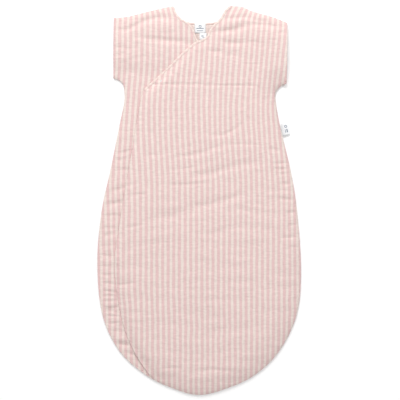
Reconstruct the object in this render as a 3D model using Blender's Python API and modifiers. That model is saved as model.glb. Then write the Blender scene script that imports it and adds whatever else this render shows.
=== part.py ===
"""Baby sleeping bag with a wrap front, cap sleeves and a hidden side zip.

It lies flat on its back: X across the bag, Y up to the neck, Z up from the surface under it. Metres.
The back is flat. Sewn seams run round it as raised bands. The left front lies low inside them, and the
wrap front is laid over it, with the zip between the two. The wrap's free side folds open about a line
from the right neckline to the zip's lower end.
Paths run anticlockwise seen from above, so a positive offset from a path goes into the bag.
"""

import math

import bmesh
import bpy
from mathutils import Vector
from mathutils.geometry import intersect_point_line, interpolate_bezier

# Driving dimensions
LENGTH = 0.700
GAP = 0.0003
TOP = LENGTH / 2
STEP = 0.022
CELL = 0.020
MERGE = 0.0008

# Widths of the bands at the edges
SEAM_WIDTH = 0.005
HEM_WIDTH = 0.012
BINDING_WIDTH = 0.003
FLAP_HEM_WIDTH = 0.006
SEAM_INSET = SEAM_WIDTH + GAP
HEM_INSET = HEM_WIDTH + GAP
BINDING_INSET = BINDING_WIDTH + GAP

# Heights and thicknesses
BACK_THICK = 0.0015
HEM_THICK = 0.0020
SEAM_HEIGHT = 0.0060
UNDER_THICK = 0.0012
UNDER_RIM = 0.0018
UNDER_BODY = 0.0050
UNDER_SHOULDER = 0.0095
WRAP_THICK = 0.0015
WRAP_RIM = 0.0042
WRAP_CROWN = 0.0140
RIM_REACH = 0.045
UNDER_RAMP = (0.222, 0.262)
FACING_THICK = 0.0008
FACING_DROP = 0.0021
FACING_LOWER_EDGE = 0.206
FACING_MARGIN = 0.008

# Outline: corners and the points its curves need
LEFT_NECK = (-0.046, TOP)
LEFT_SLEEVE_TOP = (-0.153, 0.3285)
LEFT_SLEEVE_BOTTOM = (-0.154, 0.220)
RIGHT_NECK = (0.057, TOP)
RIGHT_SLEEVE_TOP = (0.159, 0.3197)
RIGHT_SLEEVE_BOTTOM = (0.157, 0.2103)
LEFT_SHOULDER_LINE = [LEFT_NECK, (-0.062, 0.347), (-0.084, 0.342), (-0.111, 0.3353), (-0.128, 0.3308),
                      LEFT_SLEEVE_TOP]
RIGHT_SHOULDER_LINE = [RIGHT_SLEEVE_TOP, (0.133, 0.330), (0.096, 0.3407), (0.077, 0.3487), RIGHT_NECK]
LEFT_BODY = [(-0.1345, 0.178), (-0.143, 0.136), (-0.1595, 0.054), (-0.175, -0.018), (-0.183, -0.110),
             (-0.174, -0.205), (-0.143, -0.271), (-0.094, -0.315), (-0.046, -0.3385)]
RIGHT_BODY = [(0.048, -0.339), (0.100, -0.3145), (0.1445, -0.271), (0.176, -0.205), (0.1836, -0.125),
              (0.1765, -0.018), (0.165, 0.054), (0.1455, 0.136), (0.1383, 0.178)]
BOTTOM = (0.0, -TOP)
LEFT_UNDERARM = [(-0.1440, 0.2168), (-0.1368, 0.2095), (-0.1346, 0.198)]
RIGHT_UNDERARM = [(0.1379, 0.191), (0.1400, 0.1978), (0.1479, 0.2062)]
BACK_NECK_EDGE = [RIGHT_NECK, (0.0475, 0.3415), (0.0385, 0.326), (0.028, 0.3205), (0.005, 0.319),
                  (-0.018, 0.3203), (-0.031, 0.3255), (-0.041, 0.3355), LEFT_NECK]

# Front edges
LEFT_NECK_EDGE = [(0.0025, 0.2825), (-0.0045, 0.290), (-0.0105, 0.3065), (-0.0185, 0.317), (-0.031, 0.325),
                  (-0.041, 0.335), LEFT_NECK]
UNDER_INNER_EDGE = [(-0.060, -0.334), (-0.098, -0.240), (-0.112, -0.150), (-0.100, -0.010), (-0.060, 0.180),
                    (0.006, 0.262), (0.0025, 0.2825)]
FOLD_TOP = (0.0385, 0.326)
WRAP_NECK_EDGE = [RIGHT_NECK, (0.0475, 0.3415), FOLD_TOP]
WRAP_DIAGONAL = [FOLD_TOP, (0.0265, 0.3145), (0.0185, 0.3035), (0.015, 0.2945), (0.006, 0.288), (-0.006, 0.2835),
                 (-0.021, 0.272), (-0.042, 0.2522), (-0.058, 0.2362), (-0.099, 0.199)]
FLAP_CORNER = WRAP_DIAGONAL[-1]
FLAP_STRAIGHT_END = (-0.148, -0.074)
FLAP_CURVE = [FLAP_STRAIGHT_END, (-0.1515, -0.115), (-0.146, -0.175), (-0.132, -0.235), (-0.111, -0.281)]
FOLD_BOTTOM = (-0.083, -0.3215)

# Zip
ZIP_INSET = 0.015
ZIP_START = 0.008
ZIP_STOP_SHORT = 0.062
CHAIN_GAP = 0.0008
CHAIN_WIDTH = 0.0016
CHAIN_BASE = 0.0075
CHAIN_THICK = 0.0012
TAPE_WIDTH = 0.0098
TAPE_BASE = 0.00785
TAPE_THICK = 0.0005
STOP_LENGTH = 0.002
STOP_HEIGHT = 0.0016
STOP_BASE = 0.0073
SLIDER_FROM_START = 0.0085
SLIDER_LENGTH = 0.009
SLIDER_BASE = 0.0066
PLATE_HALF = 0.0036
PLATE_THICK = 0.0006
LIP_WIDTH = 0.0007
LIP_HEIGHT = 0.0003
WEB_HALF = 0.00045
SLIDER_HEIGHT = 0.0030
CROWN_HALF_LENGTH = 0.0034
CROWN_LEG = 0.0010
CROWN_WIDTH = 0.0012
CROWN_OPENING_TOP = 0.01095
CROWN_TOP = 0.0116
PULLER_AXIS_HEIGHT = 0.0103
PULLER_THICK = 0.0007
PULLER_WIDTH = 0.005
PULLER_LENGTH = 0.014
PULLER_BAR = 0.0012
PULLER_HOLE_LENGTH = 0.004
PULLER_HOLE_WIDTH = 0.0022

# Press stud at the wrap's corner
STUD_PLACE = (-0.066, 0.212)
STUD_FLANGE_RADIUS = 0.0042
STUD_POST_RADIUS = 0.0016
STUD_BASE = 0.0065
STUD_TOP = 0.0105
SOCKET_BASE = 0.0090
SOCKET_TOP = 0.0114
SOCKET_HOLE_RADIUS = 0.0021
STUD_RING_BASE = 0.0040
STUD_RING_TOP = 0.0047
DISC_STEPS = 24

# Labels
NECK_LABEL_SIZE = (0.020, 0.0172, 0.0004)
NECK_LABEL_PLACE = (0.002, 0.3103, 0.0031)
SIZE_TAB_SIZE = (0.0107, 0.012, 0.0006)
SIZE_TAB_HINGE = (0.00615, 0.3012, 0.0032)
SIDE_LABEL_SIZE = (0.0135, 0.022, 0.0008)
SIDE_LABEL_HINGE = (0.1490, 0.127, 0.0026)
SIDE_LABEL_TURN = math.radians(10)
CARE_LABEL_SIZE = (0.045, 0.030, 0.0004)
CARE_LABEL_HINGE = (0.1765, -0.125, 0.0024)
NECK_FACING_DEPTH = 0.040

STRIPE = (0.91, 0.78, 0.75, 1)
CREAM = (0.93, 0.88, 0.82, 1)
PINK = (0.89, 0.66, 0.63, 1)
WHITE = (0.93, 0.93, 0.91, 1)
STEEL = (0.72, 0.72, 0.71, 1)


# Paths

def smooth(points, step=STEP):
    """Points along a smooth curve through the given ones, about a step apart."""
    knots = [Vector(p) for p in points]
    knots = [2 * knots[0] - knots[1], *knots, 2 * knots[-1] - knots[-2]]
    path = []
    for before, a, b, after in zip(knots, knots[1:], knots[2:], knots[3:]):
        count = max(1, round((b - a).length / step))
        path += interpolate_bezier(a, a + (b - before) / 6, b - (after - a) / 6, b, count + 1)[:-1]
    return path + [knots[-2]]


def straight(a, b, step=STEP):
    """Points from a to b along a straight line."""
    a, b = Vector(a), Vector(b)
    count = max(1, round((b - a).length / step))
    return [a.lerp(b, i / count) for i in range(count + 1)]


def beside(path, offset):
    """The path moved sideways, to its left for a positive offset, with its corners mitred."""
    moved = []
    for i, point in enumerate(path):
        ahead = path[min(i + 1, len(path) - 1)] - path[min(i, len(path) - 2)]
        behind = path[max(i, 1)] - path[max(i - 1, 0)]
        normal = left_of(ahead) + left_of(behind)
        normal.normalize()
        moved.append(point + normal * (offset / normal.dot(left_of(ahead))))
    return moved


def left_of(direction):
    """Unit vector to the left of a direction."""
    return Vector((-direction.y, direction.x)).normalized()


def trimmed(path, start, end):
    """The path with the lengths start and end taken off its two ends."""
    for amount in (start, end):
        while (path[1] - path[0]).length < amount:
            amount -= (path[1] - path[0]).length
            path = path[1:]
        path = [path[0] + (path[1] - path[0]).normalized() * amount, *path[1:]]
        path = path[::-1]
    return path


def foot_on(point, a, b):
    """The point of the straight piece a-b that is nearest to a place."""
    foot, share = intersect_point_line(point, a, b)
    return a.copy() if share < 0 else b.copy() if share > 1 else foot.to_2d()


def parted(path, point):
    """The path as two, joined at the place on it that is nearest to the point."""
    point = Vector(point)
    feet = [foot_on(point, a, b) for a, b in zip(path, path[1:])]
    nearest = min(range(len(feet)), key=lambda i: (feet[i] - point).length)
    before = [p for p in path[: nearest + 1] if (p - feet[nearest]).length > GAP]
    after = [p for p in path[nearest + 1:] if (p - feet[nearest]).length > GAP]
    return [*before, feet[nearest]], [feet[nearest], *after]


def inset_outline(stretches):
    """Closed outline of (path, inset) stretches in turn, each moved into the area by its own inset."""
    edges = [(a, b, inset) for path, inset in stretches for a, b in zip(path, path[1:])]
    outline = []
    for (a, corner, first), (start, c, second) in zip(edges, edges[1:] + edges[:1]):
        n, m = left_of(corner - a), left_of(c - start)
        turn = n.x * m.y - n.y * m.x
        if abs(turn) < 0.05:
            outline.append(corner + (n + m).normalized() * (first + second) / 2)
        else:
            reach, other = first + n.dot(a), second + m.dot(start)
            outline.append(Vector((reach * m.y - other * n.y, n.x * other - m.x * reach)) / turn)
    return outline


LEFT_SHOULDER = smooth(LEFT_SHOULDER_LINE)
LEFT_ARMHOLE = straight(LEFT_SLEEVE_TOP, LEFT_SLEEVE_BOTTOM)
SIDES = smooth([LEFT_SLEEVE_BOTTOM, *LEFT_UNDERARM, *LEFT_BODY, BOTTOM, *RIGHT_BODY, *RIGHT_UNDERARM,
                RIGHT_SLEEVE_BOTTOM])
LEFT_SIDE, RIGHT_SIDE = parted(SIDES, BOTTOM)
RIGHT_ARMHOLE = straight(RIGHT_SLEEVE_BOTTOM, RIGHT_SLEEVE_TOP)
RIGHT_SHOULDER = smooth(RIGHT_SHOULDER_LINE)
BACK_NECK = smooth(BACK_NECK_EDGE, 0.012)
LEFT_NECKLINE = smooth(LEFT_NECK_EDGE, 0.012)
WRAP_NECKLINE = smooth(WRAP_NECK_EDGE, 0.012)
DIAGONAL = smooth(WRAP_DIAGONAL, 0.014)
SEAM_PAST_FOLD = parted(LEFT_SIDE, FOLD_BOTTOM)[1]
FLAP_EDGE = straight(FLAP_CORNER, FLAP_STRAIGHT_END)[:-1] + smooth([*FLAP_CURVE, SEAM_PAST_FOLD[0]])
SEWN = [LEFT_SHOULDER, LEFT_SIDE, RIGHT_SIDE, RIGHT_SHOULDER]
ZIP_PATH = trimmed(beside(FLAP_EDGE, ZIP_INSET), ZIP_START, ZIP_STOP_SHORT)
ZIP_DOWN = (Vector(FLAP_STRAIGHT_END) - Vector(FLAP_CORNER)).normalized()
ZIP_TURN = math.atan2(ZIP_DOWN.x, -ZIP_DOWN.y)


# Heights

def rise(x, y):
    """How far the front has risen at a place, from 0 at a sewn seam to 1 in the middle."""
    place = Vector((x, y))
    nearest = RIM_REACH
    for path in SEWN:
        for a, b in zip(path, path[1:]):
            nearest = min(nearest, (place - foot_on(place, a, b)).length)
    return 1 - (1 - nearest / RIM_REACH) ** 2


def under_front(x, y):
    """Underside of the left front."""
    low, high = UNDER_RAMP
    share = min(1, max(0, (y - low) / (high - low)))
    crown = UNDER_BODY + (UNDER_SHOULDER - UNDER_BODY) * share * share * (3 - 2 * share)
    return UNDER_RIM + (crown - UNDER_RIM) * rise(x, y)


def wrap_front(x, y):
    """Underside of the wrap front."""
    return WRAP_RIM + (WRAP_CROWN - WRAP_RIM) * rise(x, y)


def flat_at(height):
    return lambda x, y: height


def below(surface, drop):
    return lambda x, y: surface(x, y) - drop


# Building

def new_collection(name):
    collection = bpy.data.collections.new(name)
    bpy.context.scene.collection.children.link(collection)
    return collection


def material(name, color, roughness, metallic=0.0):
    made = bpy.data.materials.new(name)
    made.use_nodes = True
    shader = made.node_tree.nodes["Principled BSDF"]
    shader.inputs["Base Color"].default_value = color
    shader.inputs["Roughness"].default_value = roughness
    shader.inputs["Metallic"].default_value = metallic
    return made


def add_object(name, bm, finish):
    """An object for a mesh under construction, with a material of its own."""
    bmesh.ops.recalc_face_normals(bm, faces=bm.faces[:])
    mesh = bpy.data.meshes.new(name)
    bm.to_mesh(mesh)
    bm.free()
    made = bpy.data.objects.new(name, mesh)
    bag.objects.link(made)
    mesh.materials.append(material(name, *finish))
    return made


def thicken(bm, thickness):
    """Closes a sheet into a solid by drawing it straight up."""
    bmesh.ops.triangulate(bm, faces=bm.faces[:])
    grown = bmesh.ops.extrude_face_region(bm, geom=bm.faces[:], use_keep_orig=True)
    for v in grown["geom"]:
        if isinstance(v, bmesh.types.BMVert):
            v.co.z += thickness


def cut_flat(bm, point, normal):
    geometry = bm.verts[:] + bm.edges[:] + bm.faces[:]
    bmesh.ops.bisect_plane(bm, geom=geometry, dist=1e-6, plane_co=Vector((*point, 0)),
                           plane_no=Vector((*normal, 0)))


def drop_beyond(bm, point, away):
    """Takes off the faces past a line that already cuts them."""
    point, away = Vector((*point, 0)), Vector((*away, 0))
    beyond = [f for f in bm.faces if (f.calc_center_median() - point).dot(away) > 0]
    bmesh.ops.delete(bm, geom=beyond, context="FACES")


def panel(name, outline, surface, thickness, finish, keeps=(), cell=CELL):
    """A cloth panel: the outline, cut back to the keep lines, gridded, raised to its surface, thickened."""
    bm = bmesh.new()
    bm.faces.new([bm.verts.new((*p, 0)) for p in outline])
    for point, away in keeps:
        cut_flat(bm, point, away)
    if cell:
        reach = math.ceil(TOP / cell)
        for i in range(-reach, reach + 1):
            cut_flat(bm, (i * cell, 0), (1, 0))
            cut_flat(bm, (0, i * cell), (0, 1))
    for point, away in keeps:
        drop_beyond(bm, point, away)
    bmesh.ops.remove_doubles(bm, verts=bm.verts[:], dist=MERGE)
    for v in bm.verts:
        v.co.z = surface(v.co.x, v.co.y)
    thicken(bm, thickness)
    return add_object(name, bm, finish)


def ribbon(name, path, near, far, surface, thickness, finish):
    """A strip beside a path, between two offsets from it."""
    bm = bmesh.new()
    rows = []
    for a, b in zip(beside(path, near), beside(path, far)):
        rows.append([bm.verts.new((*p, surface(*p))) for p in (a, b)])
    for (a, b), (d, c) in zip(rows, rows[1:]):
        bm.faces.new((a, b, c, d))
    thicken(bm, thickness)
    return add_object(name, bm, finish)


def plate(name, size, hinge, finish, turn=0.0, grow=(0, -1)):
    """A flat label whose origin is the middle of its sewn edge and which grows away from it."""
    bm = bmesh.new()
    bmesh.ops.create_cube(bm, size=1)
    bmesh.ops.scale(bm, vec=size, verts=bm.verts[:])
    shift = Vector((grow[0] * size[0] / 2, grow[1] * size[1] / 2, 0))
    bmesh.ops.translate(bm, vec=shift, verts=bm.verts[:])
    made = add_object(name, bm, finish)
    made.location = hinge
    made.rotation_euler.z = turn
    return made


def extruded(name, outline, start, end, to_point, finish):
    """A prism between two places along the axis that to_point(u, v, along) leaves free."""
    bm = bmesh.new()
    face = bm.faces.new([bm.verts.new(to_point(u, v, start)) for u, v in outline])
    grown = bmesh.ops.extrude_face_region(bm, geom=[face], use_keep_orig=True)
    shift = to_point(0, 0, end) - to_point(0, 0, start)
    bmesh.ops.translate(bm, vec=shift, verts=[v for v in grown["geom"] if isinstance(v, bmesh.types.BMVert)])
    return add_object(name, bm, finish)


def turned(name, profile, place, finish):
    """A round piece: a profile of (radius, height) from the axis, down the outside, turned once."""
    bm = bmesh.new()
    verts = [bm.verts.new((r, 0, z)) for r, z in profile]
    for a, b in zip(verts, verts[1:]):
        bm.edges.new((a, b))
    if profile[0][0] > 0:
        bm.edges.new((verts[-1], verts[0]))
    mesh = bpy.data.meshes.new(name)
    bm.to_mesh(mesh)
    bm.free()
    made = bpy.data.objects.new(name, mesh)
    bag.objects.link(made)
    mesh.materials.append(material(name, *finish))
    made.location = (*place, 0)
    screw = made.modifiers.new("turn", "SCREW")
    screw.steps = DISC_STEPS
    screw.render_steps = DISC_STEPS
    screw.use_merge_vertices = True
    screw.merge_threshold = 0.00001
    screw.use_smooth_shade = False
    return made


# The bag, sub-part by sub-part

MUSLIN = (STRIPE, 0.9)
TRIM = (PINK, 0.9)
LINING = (CREAM, 0.9)
LABEL = (WHITE, 0.8)
TAPE = (CREAM, 0.85)
METAL = (STEEL, 0.35, 1.0)


def build_back():
    outline = inset_outline([
        (LEFT_SHOULDER, SEAM_INSET), (LEFT_ARMHOLE, HEM_INSET), (LEFT_SIDE, SEAM_INSET),
        (RIGHT_SIDE, SEAM_INSET), (RIGHT_ARMHOLE, HEM_INSET), (RIGHT_SHOULDER, SEAM_INSET),
        (BACK_NECK, BINDING_INSET),
    ])
    flat = flat_at(0)
    panel("back_panel", outline, flat, BACK_THICK, MUSLIN, cell=None)
    panel("left_back_sleeve_hem", left_hem_outline(), flat, HEM_THICK, MUSLIN, cell=None)
    panel("right_back_sleeve_hem", right_hem_outline(), flat, HEM_THICK, MUSLIN, cell=None)
    neck = trimmed(BACK_NECK, 0.010, 0.010)
    ribbon("back_neck_binding", neck, 0, BINDING_WIDTH, flat, HEM_THICK, TRIM)
    facing_level = flat_at(BACK_THICK + GAP)
    ribbon("back_neck_facing", trimmed(BACK_NECK, 0.012, 0.012), BINDING_WIDTH + 0.001, NECK_FACING_DEPTH,
           facing_level, FACING_THICK, LINING)


def left_hem_outline():
    return inset_outline([(LEFT_SHOULDER[-2:], SEAM_INSET), (LEFT_ARMHOLE, 0), (LEFT_SIDE[:2], SEAM_INSET),
                          (LEFT_ARMHOLE[::-1], -HEM_WIDTH)])


def right_hem_outline():
    return inset_outline([(RIGHT_SIDE[-2:], SEAM_INSET), (RIGHT_ARMHOLE, 0), (RIGHT_SHOULDER[:2], SEAM_INSET),
                          (RIGHT_ARMHOLE[::-1], -HEM_WIDTH)])


def build_seams():
    """The raised band round every sewn edge."""
    flat = flat_at(0)
    end = 0.001
    for name, path in (("left_shoulder_seam", LEFT_SHOULDER), ("right_shoulder_seam", RIGHT_SHOULDER),
                       ("left_side_seam", LEFT_SIDE), ("right_side_seam", RIGHT_SIDE)):
        ribbon(name, trimmed(path, end, end), 0, SEAM_WIDTH, flat, SEAM_HEIGHT, MUSLIN)


def build_left_front():
    side, _ = parted(LEFT_SIDE, UNDER_INNER_EDGE[0])
    inner = [side[-1], *smooth(UNDER_INNER_EDGE)[1:]]
    outline = inset_outline([
        (LEFT_SHOULDER, SEAM_INSET), (LEFT_ARMHOLE, HEM_INSET), (side, SEAM_INSET), (inner, 0),
        (LEFT_NECKLINE, BINDING_INSET),
    ])
    panel("left_front_panel", outline, under_front, UNDER_THICK, MUSLIN)
    panel("left_front_sleeve_hem", left_hem_outline(), under_front, HEM_THICK, MUSLIN)
    ribbon("left_neck_binding", trimmed(LEFT_NECKLINE, 0.002, 0.008), 0, BINDING_WIDTH,
           below(under_front, 0.0002), HEM_THICK - 0.0003, TRIM)


def wrap_outline(seam, armhole, neck, flap):
    return inset_outline([
        (WRAP_NECKLINE, neck), (DIAGONAL, neck), (FLAP_EDGE, flap), (SEAM_PAST_FOLD, seam),
        (RIGHT_SIDE, seam), (RIGHT_ARMHOLE, armhole), (RIGHT_SHOULDER, seam),
    ])


def fold_line(side):
    """The cut line along the fold: it keeps the free part for side 1 and the sewn part for -1."""
    upward = (Vector(FOLD_TOP) - FLAP_EDGE[-1]).normalized()
    away = -left_of(upward) * side
    return Vector(FOLD_TOP) - away * GAP / 2, away


def build_wrap():
    outline = wrap_outline(SEAM_INSET, HEM_INSET, BINDING_INSET, FLAP_HEM_WIDTH + GAP)
    panel("wrap_front_panel", outline, wrap_front, WRAP_THICK, MUSLIN, [fold_line(-1)])
    panel("wrap_front_flap", outline, wrap_front, WRAP_THICK, MUSLIN, [fold_line(1)])
    panel("right_front_sleeve_hem", right_hem_outline(), wrap_front, HEM_THICK, MUSLIN)
    binding_level = below(wrap_front, 0.0002)
    binding_thick = WRAP_THICK + 0.0004
    ribbon("wrap_neck_binding", trimmed(WRAP_NECKLINE, 0.008, 0.0004), 0, BINDING_WIDTH, binding_level,
           binding_thick, TRIM)
    ribbon("wrap_edge_binding", trimmed(DIAGONAL, 0.003, 0.002), 0, BINDING_WIDTH, binding_level,
           binding_thick, TRIM)
    ribbon("flap_edge_hem", trimmed(FLAP_EDGE, 0.002, 0.016), 0, FLAP_HEM_WIDTH, binding_level,
           binding_thick, MUSLIN)
    margin = SEAM_WIDTH + FACING_MARGIN
    inner = wrap_outline(margin, HEM_WIDTH + FACING_MARGIN / 2, BINDING_WIDTH + 0.001, margin)
    facing_level = below(wrap_front, FACING_DROP)
    lower_edge = ((0, FACING_LOWER_EDGE), (0, -1))
    panel("facing_fixed_part", inner, facing_level, FACING_THICK, LINING, [lower_edge, fold_line(-1)])
    panel("facing_flap_part", inner, facing_level, FACING_THICK, LINING, [lower_edge, fold_line(1)])


def build_zip():
    """Two tapes with a chain each, the stops, and the slider with its puller."""
    chain_path = trimmed(ZIP_PATH, STOP_LENGTH + 2 * GAP, STOP_LENGTH + 2 * GAP)
    far = CHAIN_GAP + CHAIN_WIDTH
    top_stop = trimmed(ZIP_PATH, 0, path_length(ZIP_PATH) - STOP_LENGTH)
    for name, side in (("left", -1), ("right", 1)):
        near_tape = side * (far + GAP)
        far_tape = side * (far + GAP + TAPE_WIDTH)
        ribbon(f"{name}_zip_tape", ZIP_PATH, near_tape, far_tape, flat_at(TAPE_BASE), TAPE_THICK, TAPE)
        ribbon(f"{name}_zip_chain", chain_path, side * CHAIN_GAP, side * far, flat_at(CHAIN_BASE),
               CHAIN_THICK, LABEL)
        ribbon(f"{name}_zip_top_stop", top_stop, side * CHAIN_GAP, side * far, flat_at(STOP_BASE),
               STOP_HEIGHT, LABEL)
    bottom_stop = trimmed(ZIP_PATH, path_length(ZIP_PATH) - STOP_LENGTH, 0)
    ribbon("zip_bottom_stop", bottom_stop, -far, far, flat_at(STOP_BASE), STOP_HEIGHT, LABEL)
    build_slider()


def path_length(path):
    return sum((b - a).length for a, b in zip(path, path[1:]))


def slider_place():
    return ZIP_PATH[0] + ZIP_DOWN * SLIDER_FROM_START


def build_slider():
    """Two plates joined by a web that runs between the chains, with lips and a crown for the puller."""
    top = SLIDER_BASE + SLIDER_HEIGHT
    lip = PLATE_HALF - LIP_WIDTH
    floor_top = SLIDER_BASE + PLATE_THICK
    roof_bottom = top - PLATE_THICK
    half = [
        (PLATE_HALF, SLIDER_BASE), (PLATE_HALF, floor_top + LIP_HEIGHT), (lip, floor_top + LIP_HEIGHT),
        (lip, floor_top), (WEB_HALF, floor_top), (WEB_HALF, roof_bottom), (lip, roof_bottom),
        (lip, roof_bottom - LIP_HEIGHT), (PLATE_HALF, roof_bottom - LIP_HEIGHT), (PLATE_HALF, top),
    ]
    section = half + [(-x, z) for x, z in half[::-1]]
    half_length = SLIDER_LENGTH / 2
    slider = extruded("zip_slider", section, -half_length, half_length,
                      lambda u, v, along: Vector((u, along, v)), METAL)
    reach, inner = CROWN_HALF_LENGTH, CROWN_HALF_LENGTH - CROWN_LEG
    foot = top - PLATE_THICK / 2
    arch = [
        (-reach, foot), (-inner, foot), (-inner, CROWN_OPENING_TOP), (inner, CROWN_OPENING_TOP),
        (inner, foot), (reach, foot), (reach, CROWN_TOP), (-reach, CROWN_TOP),
    ]
    crown = extruded("slider_crown_form", arch, -CROWN_WIDTH / 2, CROWN_WIDTH / 2,
                     lambda u, v, along: Vector((along, u, v)), METAL)
    bag.objects.unlink(crown)
    forms.objects.link(crown)
    crown.hide_render = True
    crown.display_type = "WIRE"
    join = slider.modifiers.new("crown", "BOOLEAN")
    join.operation = "UNION"
    join.object = crown
    for made in (slider, crown):
        made.location = (*slider_place(), 0)
        made.rotation_euler.z = ZIP_TURN
    build_puller()


def build_puller():
    """A flat pull with a slot round the crown's lower leg. Its origin is on its crossbar's axis."""
    curve = bpy.data.curves.new("zip_puller", "CURVE")
    curve.dimensions = "2D"
    curve.fill_mode = "BOTH"
    curve.extrude = PULLER_THICK / 2
    bar = PULLER_BAR / 2
    taper = PULLER_WIDTH * 0.36
    outer = [(PULLER_WIDTH / 2, bar), (-PULLER_WIDTH / 2, bar), (-PULLER_WIDTH / 2, -0.007),
             (-taper, -PULLER_LENGTH), (taper, -PULLER_LENGTH), (PULLER_WIDTH / 2, -0.007)]
    half = PULLER_HOLE_WIDTH / 2
    hole = [(half, -bar), (-half, -bar), (-half, -bar - PULLER_HOLE_LENGTH), (half, -bar - PULLER_HOLE_LENGTH)]
    for points in (outer, hole):
        spline = curve.splines.new("POLY")
        spline.points.add(len(points) - 1)
        spline.use_cyclic_u = True
        for spot, (x, y) in zip(spline.points, points):
            spot.co = (x, y, 0, 1)
    puller = bpy.data.objects.new("zip_puller", curve)
    bag.objects.link(puller)
    curve.materials.append(material("zip_puller", *METAL))
    puller.location = (*slider_place(), PULLER_AXIS_HEIGHT)
    puller.rotation_euler.z = ZIP_TURN


def build_press_stud():
    flange = STUD_FLANGE_RADIUS
    post = STUD_POST_RADIUS
    flange_top = STUD_BASE + 0.0006
    turned("press_stud", [(0, STUD_TOP), (post, STUD_TOP), (post, flange_top), (flange, flange_top),
                          (flange, STUD_BASE), (0, STUD_BASE)], STUD_PLACE, METAL)
    hole = SOCKET_HOLE_RADIUS
    hole_top = SOCKET_TOP - 0.0006
    turned("press_stud_socket", [(0, SOCKET_TOP), (flange, SOCKET_TOP), (flange, SOCKET_BASE),
                                 (hole, SOCKET_BASE), (hole, hole_top), (0, hole_top)], STUD_PLACE, METAL)
    turned("press_stud_ring", [(post, STUD_RING_TOP), (flange, STUD_RING_TOP), (flange, STUD_RING_BASE),
                               (post, STUD_RING_BASE)], STUD_PLACE, METAL)


def build_labels():
    label = plate("neck_label", NECK_LABEL_SIZE, NECK_LABEL_PLACE, LABEL, grow=(0, 0))
    label.location.z = NECK_LABEL_PLACE[2]
    plate("size_tab", SIZE_TAB_SIZE, SIZE_TAB_HINGE, LABEL)
    plate("side_label", SIDE_LABEL_SIZE, SIDE_LABEL_HINGE, LABEL, SIDE_LABEL_TURN, grow=(1, 0))
    plate("care_label", CARE_LABEL_SIZE, CARE_LABEL_HINGE, LABEL, grow=(-1, 0))


for old in list(bpy.data.objects):
    bpy.data.objects.remove(old)
bag = new_collection("baby_sleeping_bag")
forms = new_collection("forms")
build_back()
build_seams()
build_left_front()
build_wrap()
build_zip()
build_press_stud()
build_labels()
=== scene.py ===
"""Looks of a striped muslin baby sleeping bag, laid flat and seen from above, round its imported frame.

Metres, in the frame's own axes: X across the bag, Y up to the neck, Z off the floor.
Each cloth piece is a fine sheet over a height field: the dome of the bag, its folds, the puckers of its
seams and the crinkle of the gauze. A sheet's UV map holds its cloth coordinates, counted in stripes, so
that stripes and weave stay on the cloth when it folds.
"""
import math

import bmesh
import bpy
import numpy as np
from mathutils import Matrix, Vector, noise
from mathutils.geometry import delaunay_2d_cdt, interpolate_bezier


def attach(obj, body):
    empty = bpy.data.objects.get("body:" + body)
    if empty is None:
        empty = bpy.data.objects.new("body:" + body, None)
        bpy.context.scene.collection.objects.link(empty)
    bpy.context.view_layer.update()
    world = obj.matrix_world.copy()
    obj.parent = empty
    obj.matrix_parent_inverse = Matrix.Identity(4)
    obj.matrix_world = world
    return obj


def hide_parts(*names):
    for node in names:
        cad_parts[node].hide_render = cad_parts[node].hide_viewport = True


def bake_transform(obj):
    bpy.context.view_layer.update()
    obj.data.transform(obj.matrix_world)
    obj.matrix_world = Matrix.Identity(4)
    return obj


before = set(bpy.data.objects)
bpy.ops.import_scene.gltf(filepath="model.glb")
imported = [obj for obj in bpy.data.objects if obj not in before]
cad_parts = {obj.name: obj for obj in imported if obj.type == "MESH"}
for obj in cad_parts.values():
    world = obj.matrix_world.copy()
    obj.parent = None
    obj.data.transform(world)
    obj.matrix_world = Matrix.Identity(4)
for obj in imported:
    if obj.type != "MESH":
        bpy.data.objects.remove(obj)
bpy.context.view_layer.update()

# Outline, the same corners as the frame's
TOP = 0.350
LEFT_NECK = (-0.046, TOP)
LEFT_SLEEVE_TOP = (-0.153, 0.3285)
LEFT_SLEEVE_BOTTOM = (-0.154, 0.220)
LEFT_UNDERARM = [(-0.1440, 0.2168), (-0.1368, 0.2095), (-0.1346, 0.198)]
RIGHT_NECK = (0.057, TOP)
RIGHT_SLEEVE_TOP = (0.159, 0.3197)
RIGHT_SLEEVE_BOTTOM = (0.157, 0.2103)
RIGHT_UNDERARM = [(0.1379, 0.191), (0.1400, 0.1978), (0.1479, 0.2062)]
LEFT_SHOULDER_LINE = [LEFT_NECK, (-0.062, 0.347), (-0.084, 0.342), (-0.111, 0.3353), (-0.128, 0.3308),
                      LEFT_SLEEVE_TOP]
RIGHT_SHOULDER_LINE = [RIGHT_SLEEVE_TOP, (0.133, 0.330), (0.096, 0.3407), (0.077, 0.3487), RIGHT_NECK]
LEFT_BODY = [(-0.1345, 0.178), (-0.143, 0.136), (-0.1595, 0.054), (-0.175, -0.018), (-0.183, -0.110),
             (-0.174, -0.205), (-0.143, -0.271), (-0.094, -0.315), (-0.046, -0.3385)]
RIGHT_BODY = [(0.048, -0.339), (0.100, -0.3145), (0.1445, -0.271), (0.176, -0.205), (0.1836, -0.125),
              (0.1765, -0.018), (0.165, 0.054), (0.1455, 0.136), (0.1383, 0.178)]
BOTTOM = (0.0, -TOP)
BACK_NECK_EDGE = [RIGHT_NECK, (0.0475, 0.3415), (0.0385, 0.326), (0.028, 0.3205), (0.005, 0.319),
                  (-0.018, 0.3203), (-0.031, 0.3255), (-0.041, 0.3355), LEFT_NECK]
LEFT_NECK_EDGE = [(0.0025, 0.2825), (-0.0045, 0.290), (-0.0105, 0.3065), (-0.0185, 0.317), (-0.031, 0.325),
                  (-0.041, 0.3355), LEFT_NECK]
UNDER_INNER_EDGE = [(-0.060, -0.334), (-0.098, -0.240), (-0.112, -0.150), (-0.100, -0.010), (-0.060, 0.180),
                    (0.006, 0.262), (0.0025, 0.2825)]
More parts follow.
